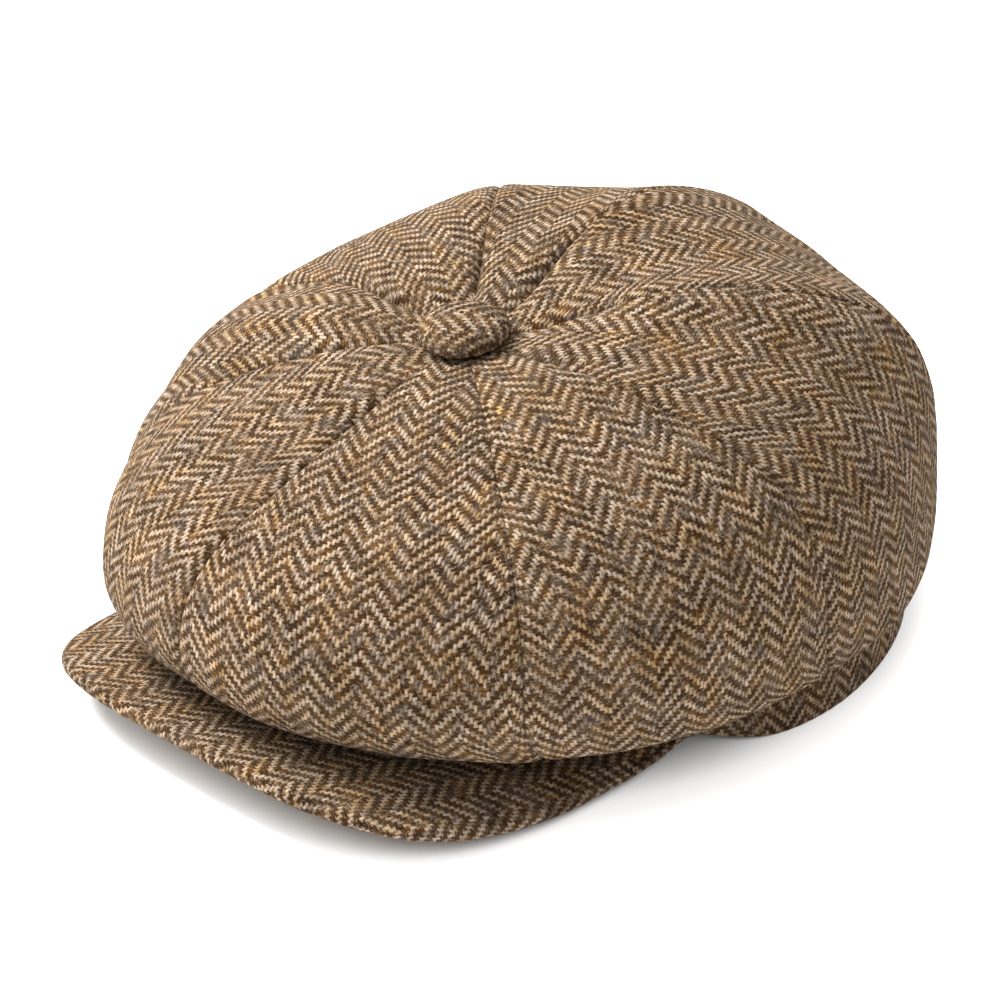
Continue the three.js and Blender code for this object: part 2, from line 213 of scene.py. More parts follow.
def plate(name, outer, inner, weave, wrap=False):
    """A closed sheet between an outer and an inner grid of points."""
    rows, columns = outer.shape[:2]
    index = np.arange(rows * columns).reshape(rows, columns)
    if wrap:
        index = np.concatenate([index, index[:, :1]], axis=1)
    under = index + rows * columns
    a, b, c, d = index[:-1, :-1], index[1:, :-1], index[1:, 1:], index[:-1, 1:]
    e, f, g, h = under[:-1, :-1], under[1:, :-1], under[1:, 1:], under[:-1, 1:]
    faces = [quads(a, b, c, d), quads(e, h, g, f)]
    faces.append(quads(index[0, :-1], index[0, 1:], under[0, 1:], under[0, :-1]))
    faces.append(quads(index[-1, 1:], index[-1, :-1], under[-1, :-1], under[-1, 1:]))
    if not wrap:
        faces.append(quads(index[1:, 0], index[:-1, 0], under[:-1, 0], under[1:, 0]))
        faces.append(quads(index[:-1, -1], index[1:, -1], under[1:, -1], under[:-1, -1]))
    vertices = np.concatenate([outer.reshape(-1, 3), inner.reshape(-1, 3)])
    both = np.concatenate([weave.reshape(-1, 3)] * 2)
    return link_mesh(name, place(vertices), np.concatenate(faces).tolist(), both)


def ring(name, grid, weave):
    """A closed loop section (rows) carried all round (columns)."""
    rows, columns = grid.shape[:2]
    index = np.arange(rows * columns).reshape(rows, columns)
    index = np.concatenate([index, index[:1]], axis=0)
    index = np.concatenate([index, index[:, :1]], axis=1)
    faces = quads(index[:-1, :-1], index[1:, :-1], index[1:, 1:], index[:-1, 1:])
    return link_mesh(name, place(grid.reshape(-1, 3)), faces.tolist(), weave.reshape(-1, 3))


def base_normals(grid):
    """Unit normals of a grid of points."""
    along = np.gradient(grid, axis=0)
    across = np.gradient(grid, axis=1)
    normal = np.cross(along, across)
    return normal / np.maximum(np.linalg.norm(normal, axis=-1, keepdims=True), 1e-9)


def finish_piece(piece, material, nodes, body="cap"):
    """Give a piece its material in a new slot and its body, and hide the CAD nodes it stands for; with
    no body given it has none.
    """
    piece.data.materials.append(material)
    if nodes:
        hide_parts(*nodes)
    if body:
        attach(piece, body)
    return piece


# ---- shader nodes ----

RANGE_SOCKETS = ("From Min", "From Max", "To Min", "To Max")


class Shader:
    """A material with short calls for the nodes that the looks here need."""

    COLOUR_INPUTS, COLOUR_OUTPUT = (6, 7), 2        # the Mix node's colour sockets

    def __init__(self, name):
        self.material = bpy.data.materials.new(name)
        self.material.use_nodes = True
        self.tree = self.material.node_tree
        self.tree.nodes.clear()
        self.output = self.tree.nodes.new("ShaderNodeOutputMaterial")
        self.surface = self.tree.nodes.new("ShaderNodeBsdfPrincipled")
        self.tree.links.new(self.surface.outputs[0], self.output.inputs["Surface"])

    def feed(self, socket, value):
        if isinstance(value, bpy.types.NodeSocket):
            self.tree.links.new(value, socket)
        else:
            socket.default_value = value

    def math(self, operation, a, b=0.0, c=0.0):
        node = self.tree.nodes.new("ShaderNodeMath")
        node.operation = operation
        for socket, value in zip(node.inputs, (a, b, c)):
            self.feed(socket, value)
        return node.outputs[0]

    def vector(self, operation, a, b=(0, 0, 0), scale=1.0):
        node = self.tree.nodes.new("ShaderNodeVectorMath")
        node.operation = operation
        self.feed(node.inputs[0], a)
        self.feed(node.inputs[1], b)
        if operation == "SCALE":
            self.feed(node.inputs["Scale"], scale)
        return node.outputs[0]

    def vector_turned(self, vector, turn):
        """vector turned in the cloth's plane by an angle in radians."""
        node = self.tree.nodes.new("ShaderNodeVectorRotate")
        node.rotation_type = "Z_AXIS"
        node.inputs["Angle"].default_value = turn
        self.feed(node.inputs["Vector"], vector)
        return node.outputs[0]

    def join(self, x, y, z):
        node = self.tree.nodes.new("ShaderNodeCombineXYZ")
        for socket, value in zip(node.inputs, (x, y, z)):
            self.feed(socket, value)
        return node.outputs[0]

    def split(self, vector):
        node = self.tree.nodes.new("ShaderNodeSeparateXYZ")
        self.feed(node.inputs[0], vector)
        return node.outputs

    def attribute(self, name):
        node = self.tree.nodes.new("ShaderNodeAttribute")
        node.attribute_name = name
        return node.outputs["Vector"]

    def noise(self, vector, scale, detail=2.0, colour=False, roughness=0.5):
        node = self.tree.nodes.new("ShaderNodeTexNoise")
        self.feed(node.inputs["Vector"], vector)
        node.inputs["Scale"].default_value = scale
        node.inputs["Detail"].default_value = detail
        node.inputs["Roughness"].default_value = roughness
        return node.outputs[1 if colour else 0]

    def wobble(self, vector, scale, amount):
        """vector shifted by smooth noise, by up to about amount."""
        moved = self.vector("SUBTRACT", self.noise(vector, scale, colour=True), (0.5, 0.5, 0.5))
        return self.vector("ADD", vector, self.vector("SCALE", moved, scale=2 * amount))

    def ramp(self, factor, stops):
        node = self.tree.nodes.new("ShaderNodeValToRGB")
        self.feed(node.inputs[0], factor)
        elements = node.color_ramp.elements
        while len(elements) < len(stops):
            elements.new(0.5)
        for element, (position, colour) in zip(elements, stops):
            element.position = position
            element.color = (*colour, 1.0)
        return node.outputs[0]

    def blend(self, factor, a, b, mode="MIX"):
        node = self.tree.nodes.new("ShaderNodeMix")
        node.data_type = "RGBA"
        node.blend_type = mode
        self.feed(node.inputs["Factor"], factor)
        for socket, value in zip(self.COLOUR_INPUTS, (a, b)):
            self.feed(node.inputs[socket], value)
        return node.outputs[self.COLOUR_OUTPUT]

    def between(self, value, low, high, to_low=0.0, to_high=1.0):
        node = self.tree.nodes.new("ShaderNodeMapRange")
        self.feed(node.inputs["Value"], value)
        for name, number in zip(RANGE_SOCKETS, (low, high, to_low, to_high)):
            node.inputs[name].default_value = number
        return node.outputs[0]

    def chance(self, x, y, z):
        """An even random number from 0 to 1 for each cell."""
        node = self.tree.nodes.new("ShaderNodeTexWhiteNoise")
        self.feed(node.inputs["Vector"], self.join(x, y, z))
        return node.outputs["Value"]

    def bump(self, height, distance, strength):
        node = self.tree.nodes.new("ShaderNodeBump")
        node.inputs["Strength"].default_value = strength
        node.inputs["Distance"].default_value = distance
        self.feed(node.inputs["Height"], height)
        self.feed(self.surface.inputs["Normal"], node.outputs[0])

    def set(self, **sockets):
        """Set the surface's sockets, with _ for a space in a name."""
        for name, value in sockets.items():
            self.feed(self.surface.inputs[name.replace("_", " ")], value)


# ---- materials ----

# light warp and dark weft yarns, from slate through tan to gold
LIGHT_YARN = [
    (0.20, (0.12, 0.098, 0.084)),
    (0.36, (0.20, 0.147, 0.106)),
    (0.48, (0.345, 0.263, 0.198)),
    (0.62, (0.392, 0.318, 0.252)),
    (0.78, (0.29, 0.195, 0.098)),
]
DARK_YARN = [
    (0.26, (0.032, 0.019, 0.011)),
    (0.42, (0.030, 0.011, 0.003)),
    (0.58, (0.054, 0.022, 0.005)),
    (0.76, (0.15, 0.074, 0.020)),
]
GOLD = (0.97, 0.80, 0.48, 1)
SLATE = (0.086, 0.075, 0.068, 1)
NAP = (0.208, 0.124, 0.062, 1)
PALE_HAIR = (0.40, 0.31, 0.225, 1)
DARK_HAIR = (0.045, 0.022, 0.008, 1)

THREAD = 1.13           # pitch of the tweed's threads, mm
ARM = 6.0               # threads in one arm of the herringbone
REPEAT = 4.0            # picks in one repeat of the twill
LIFTED = 2.0            # of which a warp thread floats over this many
LEAN = 0.16             # how far a float leans over its length, in threads
FLOAT_LENGTH, FLOAT_WIDTH = 1.06, 0.545       # half sizes of a float, in picks and threads
FLOAT_ENDS, FLOAT_SIDES = 2.4, 2.2            # how blunt its outline is
WEFT_HEIGHT, WEFT_ROUNDNESS = 0.55, 1.6
FIBRE_SCALE, RAGGED = 1.15, 0.8               # the fibres, and how far they fray a float's edge
STREAK, FLOAT_CHANGE = 0.13, 0.34             # colour changes along a yarn, and from float to float
# colour multipliers: painted shade in the gaps between the threads, then brightness changes with the
# fibres and the tone
PAINTED_GAP_SHADE, FIBRE_SHADE, TONE_SHADE = (0.50, 1.12), (0.56, 1.40), (0.76, 1.24)
TWEED_RELIEF = 0.00055                        # m
BENDS = [(0.02, 1.3), (0.12, 0.70), (0.7, 0.30), (2.2, 0.15)]     # waves of the threads: scale, mm
HAIRS = [(0.6, PALE_HAIR), (-0.5, DARK_HAIR), (2.2, PALE_HAIR), (1.3, DARK_HAIR)]


def tweed_material():
    """Herringbone: a two-and-two twill that turns back every few threads. Light
    warp floats lie over a dark weft."""
    s = Shader("tweed")
    cloth = s.attribute("weave")
    bent = cloth
    for scale, amount in BENDS:
        bent = s.wobble(bent, scale, amount)
    across, along, _ = s.split(bent)
    seed = s.math("ROUND", s.split(cloth)[2])
    u = s.math("DIVIDE", across, THREAD)
    v = s.math("DIVIDE", along, THREAD)
    arm = s.math("FLOOR", s.math("DIVIDE", u, ARM))
    second = s.math("FLOORED_MODULO", arm, 2.0)
    slip = s.chance(s.math("FLOOR", s.math("DIVIDE", arm, 2.0)), seed, 0.5)
    place = s.math("PINGPONG", u, ARM)
    rise = s.math("ADD", s.math("ADD", v, second), slip)
    line = s.math("FLOORED_MODULO", s.math("ADD", s.math("ADD", place, rise), -0.5), LIFTED)
    lean = s.math("MULTIPLY", s.math("SUBTRACT", line, LIFTED / 2), LEAN)
    place = s.math("MINIMUM", s.math("MAXIMUM", s.math("ADD", place, lean), 0.01), ARM - 0.01)
    warp_index = s.math("FLOOR", place)
    cycle = s.math("ADD", warp_index, rise)
    run = s.math("FLOORED_MODULO", cycle, REPEAT)
    lifted = s.math("LESS_THAN", run, LIFTED)

    # the float's own shape: along it from -1 to 1, across it from -0.5 to 0.5
    end = s.math("SUBTRACT", run, LIFTED / 2)
    side = s.math("SUBTRACT", s.math("FRACT", place), 0.5)

    def rounded(value, half, power):
        share = s.math("ABSOLUTE", s.math("DIVIDE", value, half))
        return s.math("SUBTRACT", 1.0, s.math("POWER", share, power))

    long_way = rounded(end, FLOAT_LENGTH, FLOAT_ENDS)
    cross_way = rounded(side, FLOAT_WIDTH, FLOAT_SIDES)
    product = s.math("MAXIMUM", s.math("MULTIPLY", long_way, cross_way), 0.0)
    warp_height = s.math("MULTIPLY", s.math("SQRT", product), lifted)
    pick = s.math("SUBTRACT", s.math("FRACT", v), 0.5)
    hollow = s.math("MULTIPLY", s.math("MULTIPLY", pick, pick), WEFT_ROUNDNESS)
    weft_height = s.math("SUBTRACT", WEFT_HEIGHT, hollow)
    weft_height = s.math("MULTIPLY", weft_height, s.math("SUBTRACT", 1.0, lifted))
    height = s.math("ADD", warp_height, weft_height)

    # yarn colours: streaks along each thread, and a change from float to float
    thread_number = s.math("ADD", warp_index, s.math("MULTIPLY", arm, 7.0))
    float_number = s.math("FLOOR", s.math("DIVIDE", cycle, REPEAT))
    scatter = s.chance(thread_number, float_number, seed)
    change = s.math("MULTIPLY", s.math("SUBTRACT", scatter, 0.5), FLOAT_CHANGE)
    warp_place = s.join(s.math("MULTIPLY", thread_number, 3.17), s.math("MULTIPLY", v, STREAK), seed)
    pick_number = s.math("FLOOR", v)
    weft_place = s.join(s.math("MULTIPLY", u, STREAK), s.math("MULTIPLY", pick_number, 3.31), seed)
    warp_colour = s.ramp(s.math("ADD", s.noise(warp_place, 1.0), change), LIGHT_YARN)
    weft_colour = s.ramp(s.math("ADD", s.noise(weft_place, 1.0), change), DARK_YARN)
    fibres = s.noise(s.vector("MULTIPLY", bent, (1.4, 0.9, 1.0)), FIBRE_SCALE, 3.0, roughness=0.65)
    ragged = s.math("ADD", warp_height, s.math("MULTIPLY", s.math("SUBTRACT", fibres, 0.5), RAGGED))
    edge = s.between(ragged, 0.30, 0.62)
    colour = s.blend(edge, weft_colour, warp_colour)

    # slate and gold showing in streaks and flecks
    patch = s.noise(s.vector("MULTIPLY", cloth, (1.0, 0.55, 1.0)), 0.12, 4.0, roughness=0.65)
    colour = s.blend(s.between(patch, 0.44, 0.66, 0.0, 0.95), colour, GOLD, "MULTIPLY")
    patch = s.noise(s.vector("ADD", cloth, (300, 90, 7)), 0.16, 4.0, roughness=0.65)
    colour = s.blend(s.between(patch, 0.54, 0.68, 0.0, 0.62), colour, SLATE)

    # nap and loose hairs on the surface, then painted shade between the threads, and brightness changes
    # along them with the fibres and the tone
    hairs = s.noise(s.wobble(cloth, 0.5, 1.5), 1.7, 3.0, roughness=0.7)
    nap = s.between(s.noise(s.vector("ADD", cloth, (40, 170, 3)), 0.09, 3.0), 0.46, 0.70, 0.0, 0.25)
    colour = s.blend(s.math("ADD", s.between(hairs, 0.50, 0.76, 0.05, 0.50), nap), colour, NAP)
    for turn, tint in HAIRS:
        strand = s.vector_turned(s.wobble(cloth, 0.25, 1.2), turn)
        strand = s.noise(s.vector("MULTIPLY", strand, (2.4, 0.42, 1.0)), 1.0, 1.0)
        colour = s.blend(s.between(strand, 0.60, 0.72, 0.0, 0.55), colour, tint)
    tone = s.noise(s.vector("ADD", cloth, (90, 20, 5)), 0.11, 3.0, roughness=0.6)
    # painted shade: the colour darkens where the threads lie low, in the gaps between them
    light = s.between(height, 0.0, 1.0, *PAINTED_GAP_SHADE)
    light = s.math("MULTIPLY", light, s.between(fibres, 0.30, 0.70, *FIBRE_SHADE))
    light = s.math("MULTIPLY", light, s.between(tone, 0.32, 0.68, *TONE_SHADE))
    colour = s.blend(1.0, colour, s.join(light, light, light), "MULTIPLY")
    relief = s.math("ADD", height, s.math("MULTIPLY", s.math("ADD", fibres, hairs), 0.7))
    s.bump(relief, TWEED_RELIEF, 0.9)
    s.set(Base_Color=colour, Roughness=0.92, Specular_IOR_Level=0.01, Sheen_Weight=0.05,
          Sheen_Roughness=0.5, Sheen_Tint=(0.75, 0.58, 0.42, 1))
    return s.material


SATIN_PITCH = 0.35


def satin_material():
    s = Shader("satin")
    cloth = s.attribute("weave")
    rib = s.math("SINE", s.math("MULTIPLY", s.split(cloth)[1], 2 * math.pi / SATIN_PITCH))
    tone = s.noise(s.vector("MULTIPLY", cloth, (0.05, 1.2, 1.0)), 1.0, 3.0)
    colour = s.ramp(tone, [(0.3, (0.030, 0.018, 0.012)), (0.7, (0.062, 0.038, 0.025))])
    s.bump(s.math("ADD", rib, tone), 0.00003, 0.5)
    s.set(Base_Color=colour, Roughness=0.34, Specular_IOR_Level=0.5, Sheen_Weight=0.25,
          Sheen_Roughness=0.3)
    return s.material


def leather_material():
    s = Shader("leather")
    cloth = s.attribute("weave")
    cells = s.tree.nodes.new("ShaderNodeTexVoronoi")
    s.feed(cells.inputs["Vector"], s.wobble(cloth, 0.8, 0.3))
    cells.inputs["Scale"].default_value = 1.1
    cells.feature = "DISTANCE_TO_EDGE"
    grain = s.between(cells.outputs[0], 0.0, 0.18)
    tone = s.noise(cloth, 0.06, 4.0)
    colour = s.ramp(tone, [(0.3, (0.115, 0.048, 0.020)), (0.7, (0.20, 0.092, 0.040))])
    s.bump(grain, 0.00012, 0.5)
    s.set(Base_Color=colour, Roughness=s.between(tone, 0.3, 0.7, 0.62, 0.45), Specular_IOR_Level=0.45)
    return s.material


def plain_weave_material(name, dark, light, pitch, roughness):
    s = Shader(name)
    cloth = s.wobble(s.attribute("weave"), 0.7, 0.15)
    x, y, _ = s.split(cloth)
    rows = s.math("SINE", s.math("MULTIPLY", x, 2 * math.pi / pitch))
    picks = s.math("SINE", s.math("MULTIPLY", y, 2 * math.pi / pitch))
    height = s.math("MULTIPLY", rows, picks)
    colour = s.ramp(s.math("ADD", s.math("MULTIPLY", height, 0.25), s.noise(cloth, 0.5, 3.0)),
                    [(0.25, dark), (0.75, light)])
    s.bump(height, 0.0001, 0.5)
    s.set(Base_Color=colour, Roughness=roughness)
    return s.material


def speckled_material(name, scale, dark, light, relief, **sockets):
    s = Shader(name)
    geometry = s.tree.nodes.new("ShaderNodeTexCoord")
    tone = s.noise(geometry.outputs["Object"], scale, 3.0)
    s.bump(tone, relief, 0.4)
    s.set(Base_Color=s.ramp(tone, [(0.3, dark), (0.7, light)]), **sockets)
    return s.material


tweed = tweed_material()
satin = satin_material()
leather = leather_material()
buckram = plain_weave_material("buckram", (0.55, 0.49, 0.40), (0.72, 0.66, 0.56), 0.9, 0.9)
thread = plain_weave_material("thread", (0.05, 0.032, 0.018), (0.10, 0.065, 0.035), 0.5, 0.8)
board = speckled_material("board", 900.0, (0.70, 0.68, 0.63), (0.78, 0.76, 0.71), 0.00003, Roughness=0.5)
tin = speckled_material("tin", 1500.0, (0.52, 0.53, 0.55), (0.66, 0.67, 0.69), 0.00001,
                        Metallic=1.0, Roughness=0.38)

# ---- crown ----

CROWN_ROWS, CROWN_COLUMNS, CROWN_EVENNESS, CROWN_SOFTENING = 150, 54, 0.3, 14
SEAM_GAP = 0.3                  # between the crown's lower edge and the band


def rim_distance(angle):
    return oval(np.where(np.cos(angle) > 0, CROWN_FRONT, CROWN_REAR), CROWN_SIDE, angle)


def crown_surface(share, angle):
    """The plain outside of the crown, from the button (0) to the band (1)."""
    share, angle = np.broadcast_arrays(share, angle)
    rim = rim_distance(angle)
    rim_height = mix(RIM_FRONT, RIM_REAR, angle)
    lean = np.clip(share / TOP_SHARE, 0, 1) * math.pi / 2
    distance = rim * np.sin(lean) ** (2 / PLAN_POWER)
    rise = mix(TOP_FRONT, TOP_REAR, angle) - rim_height
    dome = rim_height + rise * np.cos(lean) ** (2 / HEIGHT_POWER)
    dimple = np.exp(-((distance / DIMPLE_RADIUS) ** 2))
    height = dome * (1 - dimple) + APEX_HEIGHT * dimple
    top = polar(distance, angle, height, CROWN_CENTRE + APEX_SHIFT * (1 - distance / rim))

    edge = polar(rim, angle, rim_height, CROWN_CENTRE)
    seam = polar(oval(OPENING_LENGTH, OPENING_WIDTH, angle) + SEAM_GAP, angle, band_top(angle))
    fold = seam + (edge - seam) * FOLD_REACH
    fold[..., 2] = mix(FOLD_FRONT, FOLD_REAR, angle)
    fold_share = TOP_SHARE + SIDE_SHARE
    down = np.clip((share - TOP_SHARE) / SIDE_SHARE, 0, 1)[..., None] * math.pi / 2
    back = np.clip((share - fold_share) / (1 - fold_share), 0, 1)[..., None] * math.pi / 2
    plan, upright = np.array([1.0, 1.0, 0.0]), np.array([0.0, 0.0, 1.0])
    side = (fold + (edge - fold) * np.cos(down)) * plan \
        + (edge + (fold - edge) * np.sin(down)) * upright
    turn = (fold + (seam - fold) * np.sin(back)) * plan \
        + (fold + (seam - fold) * (1 - np.cos(back))) * upright
    which = share[..., None]
    return np.where(which <= TOP_SHARE, top, np.where(which <= fold_share, side, turn))


# How far each seam, and each gore's middle, stands out from the round (+) or
# draws in (-) over the crown, in mm, starting at the front centre.
SEAM_RELIEF = [-0.4, 0.0, -0.8, 3.0, 0.8, 1.0, -0.8, -1.8]
GORE_RELIEF = [0.4, 0.8, -1.2, -5.4, -3.6, -0.4, 0.8, -0.6]
# Where the soft crown hangs out (+) or in (-): bearing and its reach in degrees,
# share of the way down and its span, and the amount in mm.
SLUMP = [(138, 24, 0.60, 0.12, -4.2), (298, 16, 0.47, 0.06, -2.0), (276, 16, 0.36, 0.06, 2.2),
         (160, 16, 0.42, 0.07, 1.8), (50, 22, 0.81, 0.06, 1.8), (310, 22, 0.81, 0.06, 1.8)]
# How far each seam strays round the crown, near the button and at the rim, in
# degrees: soft cloth never lies evenly.
SEAM_STRAY = [(-1, -3.5), (0, 0.5), (-2, 3.5), (-2.5, 8), (7, 4), (0, 2), (7, 8), (-1.5, -3.5)]


GORE_SWELL, PUCKER_SWELL, PUCKER_RADIUS, PUCKER_REACH = 0.5, 1.3, 30.0, 16.0
GROOVE, GROOVE_WIDTH, STITCH_LINE, STITCH_WIDTH = 0.6, 1.6, 0.7, 0.65
WAVES = [(0.9, 0.020, 11.0), (0.5, 0.055, 37.0)]        # amount in mm, scale, seed
PUCKER_SCALE, PUCKER_SEED, PUCKER_SPAN = 0.16, 5.0, 7.0


def seam_angle(seam, share):
    """Where a seam runs round the crown, at each share of the way down."""
    near, far = SEAM_STRAY[seam % PANELS]
    stray = near + (far - near) * smoothstep(0.18, 0.42, share)
    stray = stray * smoothstep(0.02, 0.10, share) * (1 - 0.75 * smoothstep(0.78, 1.0, share))
    return SEAM_STEP * seam + np.radians(stray)


def crown_relief(base, share, across, half, gore):
    """How far the cloth stands off the plain surface, in mm."""
    from_seam = half - np.abs(across)
    inside = np.clip(np.abs(across) / half, 0, 1)
    radius = np.linalg.norm(base[..., :2] - np.array([0, CROWN_CENTRE + APEX_SHIFT]), axis=-1)
    top = 1 - smoothstep(TOP_SHARE * 0.85, TOP_SHARE + SIDE_SHARE * 0.8, share)
    body = smoothstep(8, 30, radius) * (1 - smoothstep(0.90, 1.0, share))

    near = np.exp(-(((radius - PUCKER_RADIUS) / PUCKER_REACH) ** 2)) * top
    relief = (GORE_SWELL + PUCKER_SWELL * near) * (1 - inside ** 2.2) * body
    groove = GROOVE * (1 + near) * np.exp(-((from_seam / GROOVE_WIDTH) ** 1.3))
    relief -= (groove + STITCH_LINE * np.exp(-from_seam / STITCH_WIDTH)) * body
    over = smoothstep(0.05, 0.17, share) * (1 - smoothstep(0.55, 0.84, share))
    relief += GORE_RELIEF[gore] * (1 - inside ** 2) * over
    for seam, place_in in ((gore, -across), ((gore + 1) % PANELS, across)):
        weight = smoothstep(0, 1, np.clip(place_in / half, 0, 1))
        relief += SEAM_RELIEF[seam] * weight * over
    bearing = np.degrees(np.arctan2(base[..., 0], CROWN_CENTRE - base[..., 1]))
    for toward, reach, level, span, rise in SLUMP:
        off = (bearing - toward + 180) % 360 - 180
        relief += rise * np.exp(-((off / reach) ** 2) - ((share - level) / span) ** 2)
    for amount, scale, seed in WAVES:
        relief += amount * noise_at(base, scale, seed) * body
    pucker = noise_at(base, PUCKER_SCALE, PUCKER_SEED) * np.exp(-from_seam / PUCKER_SPAN)
    return relief + pucker * (0.2 + 0.5 * near) * body


def make_gore(gore):
    """One gore of the crown, from the button to the band."""
    first = TOP_SHARE * math.asin((APEX_HOLE / CROWN_SIDE) ** (PLAN_POWER / 2)) / (math.pi / 2)
    share = np.linspace(first, 1, CROWN_ROWS + 1)[:, None]
    left, right = seam_angle(gore, share), seam_angle(gore + 1, share)
    angle = left + (right - left) * (gore_steps(CROWN_COLUMNS, CROWN_EVENNESS) + 1) / 2
    base = crown_surface(share, angle)
    soften(base, CROWN_SOFTENING)
    normal = base_normals(base)[:, 1:-1]
    base = base[:, 1:-1]

    across, half, along = cloth_lengths(base, CROWN_COLUMNS // 2)
    rows = np.broadcast_to(share, across.shape)
    outer = base + normal * crown_relief(base, rows, across, half, gore)[..., None]
    inner = outer - normal * TWEED
    weave = np.stack(np.broadcast_arrays(across + 40 * gore, along + 17 * gore, 10.0 * gore), axis=-1)
    piece = plate(f"crown_gore_{gore + 1}", outer, inner, weave)
    return finish_piece(piece, tweed, [f"crown_panel_{gore + 1}"])


for gore in range(PANELS):
    make_gore(gore)

# ---- band ----

BAND_COLUMNS = 240


def strip_section(thickness, rows):
    """Depths and levels round a section with a rounded lower edge, starting at the
    outer top. Levels are shares of the height, and of the radius on the bend."""
    radius = thickness / 2
    down = np.linspace(1, 0, rows)
    outer = np.stack([np.zeros(rows), down], axis=-1)
    turn = np.linspace(0, math.pi, 7)[1:-1]
    bend = np.stack([radius - radius * np.cos(turn), -np.sin(turn)], axis=-1)
    inner = np.stack([np.full(rows, thickness), down[::-1]], axis=-1)
    return outer, bend, inner


def make_strip(name, inset, thickness, bottom, top, material, node, wave=0.0, rows=14):
    """A strip round the opening, inset mm inside it, from bottom to top mm up."""
    angle = np.arange(BAND_COLUMNS) / BAND_COLUMNS * 2 * math.pi
    low, high = bottom(angle), top(angle)
    outer, bend, inner = strip_section(thickness, rows)
    radius = thickness / 2
    grid, length, run = [], [], 0.0
    for section, curved in ((outer, False), (bend, True), (inner, False)):
        for depth, level in section:
            reach = inset + depth
            distance = oval(OPENING_LENGTH - reach, OPENING_WIDTH - reach, angle)
            if curved:
                height = low + radius * (1 + level)
            else:
                height = low + radius + (high - low - radius) * level
            grid.append(polar(distance, angle, height))
            if len(grid) > 1:
                run += float(np.median(np.linalg.norm(grid[-1] - grid[-2], axis=-1)))
            length.append(run)
    grid = np.array(grid)
    if wave:
        # waves that grow from nothing at the foot, where the strip is held
        swell = noise_at(grid * np.array([1, 1, 0.6]), 0.035, 3.0) * wave
        level = np.clip((grid[..., 2] - 2) / 12, 0, 1)
        outward = polar(1.0, angle, 0.0)
        grid = grid + outward[None] * (swell * level)[..., None]
    grid = sag(grid)
    around = arc_lengths(polar(oval(OPENING_LENGTH, OPENING_WIDTH, angle), angle, 0.0))
    weave = np.stack(np.broadcast_arrays(around[None, :], np.array(length)[:, None], BAND_SEED), axis=-1)
    piece = ring(name, grid, weave)
    return finish_piece(piece, material, [node])


make_strip("band_cloth", 0.0, BAND_CLOTH, band_lift, band_top, tweed, "outer_band",
           wave=BAND_WAVE)
make_strip("band_stiffener", STIFFENER_INSET, STIFFENER, lambda a: band_lift(a) + STIFFENER_FOOT,
           lambda a: band_top(a) - STIFFENER_TOP, buckram, "band_interlining")
make_strip("sweatband_leather", SWEATBAND_INSET, SWEATBAND, lambda a: band_lift(a) + 0.5,
           lambda a: band_lift(a) * 0.6 + SWEATBAND_HEIGHT, leather, "sweatband",
           wave=SWEATBAND_WAVE)

# ---- lining ----

LINING_ROWS, LINING_COLUMNS, LINING_EVENNESS, LINING_SOFTENING = 70, 24, 0.4, 6
LINING_PUFF, LINING_PUFF_SCALE, LINING_TUCK, LINING_TUCK_WIDTH = 0.9, 0.06, 1.2, 2.2
LINING_TOP_FRONT, LINING_TOP_REAR = 72.0, 112.0
LINING_RIM, LINING_NECK, LINING_HEM = 50.0, 38.0, 9.0
LINING_DROP, SWELL_FRONT, SWELL_REAR = 8.0, 12.0, 0.4
NECK_SHARE, HEM_SHARE = 0.72, 0.9


def lining_surface(share, angle):
    """The plain outside of the lining, from its middle (0) to its hem (1)."""
    share, angle = np.broadcast_arrays(share, angle)
    base = oval(OPENING_LENGTH - LINING_INSET, OPENING_WIDTH - LINING_INSET, angle)
    swell = mix(SWELL_FRONT, SWELL_REAR, angle)
    lean = np.clip(share / NECK_SHARE, 0, 1) * math.pi / 2
    rim = base + swell
    distance = rim * np.sin(lean) ** (2 / PLAN_POWER)
    dome = LINING_RIM + (mix(LINING_TOP_FRONT, LINING_TOP_REAR, angle) - LINING_RIM) \
        * np.cos(lean) ** (2 / HEIGHT_POWER)
    flat = np.exp(-((distance / DIMPLE_RADIUS) ** 2))
    height = dome * (1 - flat) + (APEX_HEIGHT - LINING_DROP) * flat
    top = polar(distance, angle, height, (CROWN_CENTRE + APEX_SHIFT) * (1 - distance / rim))
    down = np.clip((share - NECK_SHARE) / (HEM_SHARE - NECK_SHARE), 0, 1)
    neck = polar(base + swell * (1 + np.cos(math.pi * down)) / 2, angle,
                 LINING_RIM + (LINING_NECK - LINING_RIM) * down)
    last = np.clip((share - HEM_SHARE) / (1 - HEM_SHARE), 0, 1)
    hem = polar(base, angle, LINING_NECK + (LINING_HEM + band_lift(angle) - LINING_NECK) * last)
    which = share[..., None]
    return np.where(which <= NECK_SHARE, top, np.where(which <= HEM_SHARE, neck, hem))


